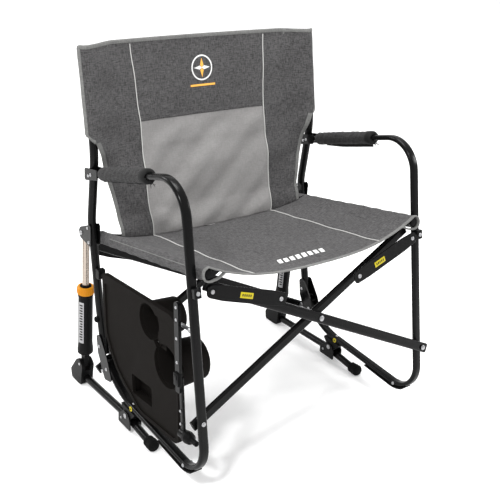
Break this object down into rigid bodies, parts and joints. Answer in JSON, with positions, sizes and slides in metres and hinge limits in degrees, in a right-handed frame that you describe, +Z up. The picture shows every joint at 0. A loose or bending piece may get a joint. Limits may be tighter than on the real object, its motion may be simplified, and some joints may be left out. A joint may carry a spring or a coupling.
{
  "type": "folding camp rocking chair",
  "caption": "Folding camp rocking chair with sling seat and back, padded arms, spring strut rockers on hinged ground bars, and a fold-out side table with cup wells",
  "frame": {"origin": "on the floor under the middle of the chair", "axes": "+Z up, -Y is the way the sitter faces, +X is the sitter's left"},
  "size_m": [0.6718, 0.5974, 0.86],
  "materials": {
    "amber_plastic": "amber moulded plastic",
    "black_plastic": "black moulded nylon, satin",
    "black_tube": "black powder coat over steel tube",
    "heather_fabric": "dark heather grey woven polyester",
    "pad_fabric": "black woven polyester over thin foam",
    "rod_steel": "ground steel rod",
    "rubber": "black rubber",
    "table_plastic": "charcoal moulded plastic, fine matte texture",
    "zinc": "bright zinc plate"
  },
  "bodies": {
    "ground_right": {"ground_bar_right": "black_tube", "ground_tip_right": "rubber", "rock_ears_right": "black_tube", "rock_pin_right": "zinc", "rear_tee_right": "black_plastic"},
    "frame_right": {"side_loop_right": "black_tube", "back_post_right": "black_tube", "toe_pad_right": "rubber", "arm_pad_right": "pad_fabric", "arm_saddle_right": "black_tube", "rear_bracket_right": "black_tube", "strut_bracket_right": "black_tube", "rock_block_right": "black_plastic", "link_block_right": "black_tube", "front_foot_bolt_right": "zinc", "rear_foot_bolt_right": "zinc", "back_sling": "heather_fabric", "table_pin": "zinc", "table_holder": "black_plastic", "stay_mount": "black_plastic"},
    "strut_cylinder_right": {"strut_cylinder_right": "black_plastic", "strut_collar_right": "amber_plastic"},
    "strut_rod_right": {"strut_rod_right": "rod_steel"},
    "rail_right": {"seat_rail_right": "black_tube", "seat_sling": "heather_fabric"},
    "links_right": {"link_front_right": "black_tube", "link_rear_right": "black_tube"},
    "ground_left": {"ground_bar_left": "black_tube", "ground_tip_left": "rubber", "rock_ears_left": "black_tube", "rock_pin_left": "zinc", "rear_tee_left": "black_plastic"},
    "frame_left": {"side_loop_left": "black_tube", "back_post_left": "black_tube", "toe_pad_left": "rubber", "arm_pad_left": "pad_fabric", "arm_saddle_left": "black_tube", "rear_bracket_left": "black_tube", "strut_bracket_left": "black_tube", "rock_block_left": "black_plastic", "link_block_left": "black_tube", "front_foot_bolt_left": "zinc", "rear_foot_bolt_left": "zinc"},
    "strut_cylinder_left": {"strut_cylinder_left": "black_plastic", "strut_collar_left": "amber_plastic"},
    "strut_rod_left": {"strut_rod_left": "rod_steel"},
    "rail_left": {"seat_rail_left": "black_tube"},
    "links_left": {"link_front_left": "black_tube", "link_rear_left": "black_tube"},
    "cross_a": {"cross_front_a": "black_tube", "cross_rear_a": "black_tube"},
    "cross_b": {"cross_front_b": "black_tube", "cross_rear_b": "black_tube", "centre_bolt_front": "zinc", "centre_bolt_rear": "zinc"},
    "side_table": {"table_top": "table_plastic", "cup_small": "table_plastic", "cup_large": "table_plastic"},
    "table_stay": {"table_stay": "black_tube"}
  },
  "joints": [
    {"name": "rock", "type": "hinge", "parent": "ground_right", "child": "frame_right", "pos_m": [-0.315, 0.0153, 0.0413], "axis": [-1, 0, 0], "range_deg": [-8, 14], "stiffness_Nm_per_rad": 420},
    {"name": "fold", "type": "hinge", "parent": "frame_right", "child": "cross_a", "pos_m": [-0.315, -0.2737, 0.186], "axis": [0, -0.9806, 0.1959], "range_deg": [0, 53], "deforming": ["seat_sling", "back_sling"]},
    {"name": "cross", "type": "hinge", "parent": "cross_a", "child": "cross_b", "pos_m": [0, -0.2436, 0.33666], "axis": [0, -0.9806, 0.1959], "range_deg": [-106.05, 0]},
    {"name": "left_foot", "type": "hinge", "parent": "cross_b", "child": "frame_left", "pos_m": [0.315, -0.2737, 0.186], "axis": [0, -0.9806, 0.1959], "range_deg": [0, 53.05]},
    {"name": "left_rail_turn", "type": "hinge", "parent": "cross_a", "child": "rail_left", "pos_m": [0.287, -0.21126, 0.49847], "axis": [0, -0.9806, 0.1959], "range_deg": [-53.05, 0]},
    {"name": "right_rail_turn", "type": "hinge", "parent": "cross_b", "child": "rail_right", "pos_m": [-0.287, -0.21126, 0.49847], "axis": [0, -0.9806, 0.1959], "range_deg": [0, 53.05]},
    {"name": "right_links_turn", "type": "hinge", "parent": "frame_right", "child": "links_right", "pos_m": [-0.282, -0.21864, 0.46155], "axis": [0, -0.9806, 0.1959], "range_deg": [0, 104.35]},
    {"name": "left_links_turn", "type": "hinge", "parent": "frame_left", "child": "links_left", "pos_m": [0.282, -0.21864, 0.46155], "axis": [0, -0.9806, 0.1959], "range_deg": [-104.35, 0]},
    {"name": "left_rock", "type": "hinge", "parent": "frame_left", "child": "ground_left", "pos_m": [0.315, 0.0153, 0.0413], "axis": [-1, 0, 0], "range_deg": [-14.05, 8.05]},
    {"name": "right_strut_tilt", "type": "hinge", "parent": "ground_right", "child": "strut_cylinder_right", "pos_m": [-0.315, 0.2506, 0.0593], "axis": [-1, 0, 0], "range_deg": [-8.72, 15.23]},
    {"name": "right_strut_stroke", "type": "slide", "parent": "strut_cylinder_right", "child": "strut_rod_right", "axis": [0, -0.0319, 0.9995], "range_m": [-0.05733, 0.03289]},
    {"name": "left_strut_tilt", "type": "hinge", "parent": "ground_left", "child": "strut_cylinder_left", "pos_m": [0.315, 0.2506, 0.0593], "axis": [-1, 0, 0], "range_deg": [-8.72, 15.23]},
    {"name": "left_strut_stroke", "type": "slide", "parent": "strut_cylinder_left", "child": "strut_rod_left", "axis": [0, -0.0319, 0.9995], "range_m": [-0.05733, 0.03289]},
    {"name": "table_swing", "type": "hinge", "parent": "frame_right", "child": "side_table", "pos_m": [-0.315, 0.14869, 0.34404], "axis": [0, 0.9958, -0.0915], "range_deg": [0, 90]},
    {"name": "stay_swing", "type": "hinge", "parent": "frame_right", "child": "table_stay", "pos_m": [-0.318, -0.21145, 0.12407], "axis": [0, -0.9958, 0.0915], "range_deg": [0, 36.3]}
  ],
  "couplings": [
    {"joint": "cross", "follows": "fold", "ratio": -2},
    {"joint": "left_foot", "follows": "fold", "ratio": 1},
    {"joint": "left_rail_turn", "follows": "fold", "ratio": -1},
    {"joint": "right_rail_turn", "follows": "fold", "ratio": 1},
    {"joint": "right_links_turn", "follows": "fold", "ratio": 1.9679},
    {"joint": "left_links_turn", "follows": "fold", "ratio": -1.9679},
    {"joint": "left_rock", "follows": "rock", "ratio": -1},
    {"joint": "right_strut_tilt", "follows": "rock", "ratio": 1.0842},
    {"joint": "right_strut_stroke", "follows": "rock", "m_per_rad": -0.2334},
    {"joint": "left_strut_tilt", "follows": "rock", "ratio": 1.0842},
    {"joint": "left_strut_stroke", "follows": "rock", "m_per_rad": -0.2334},
    {"joint": "stay_swing", "follows": "table_swing", "ratio": 0.4022}
  ]
}
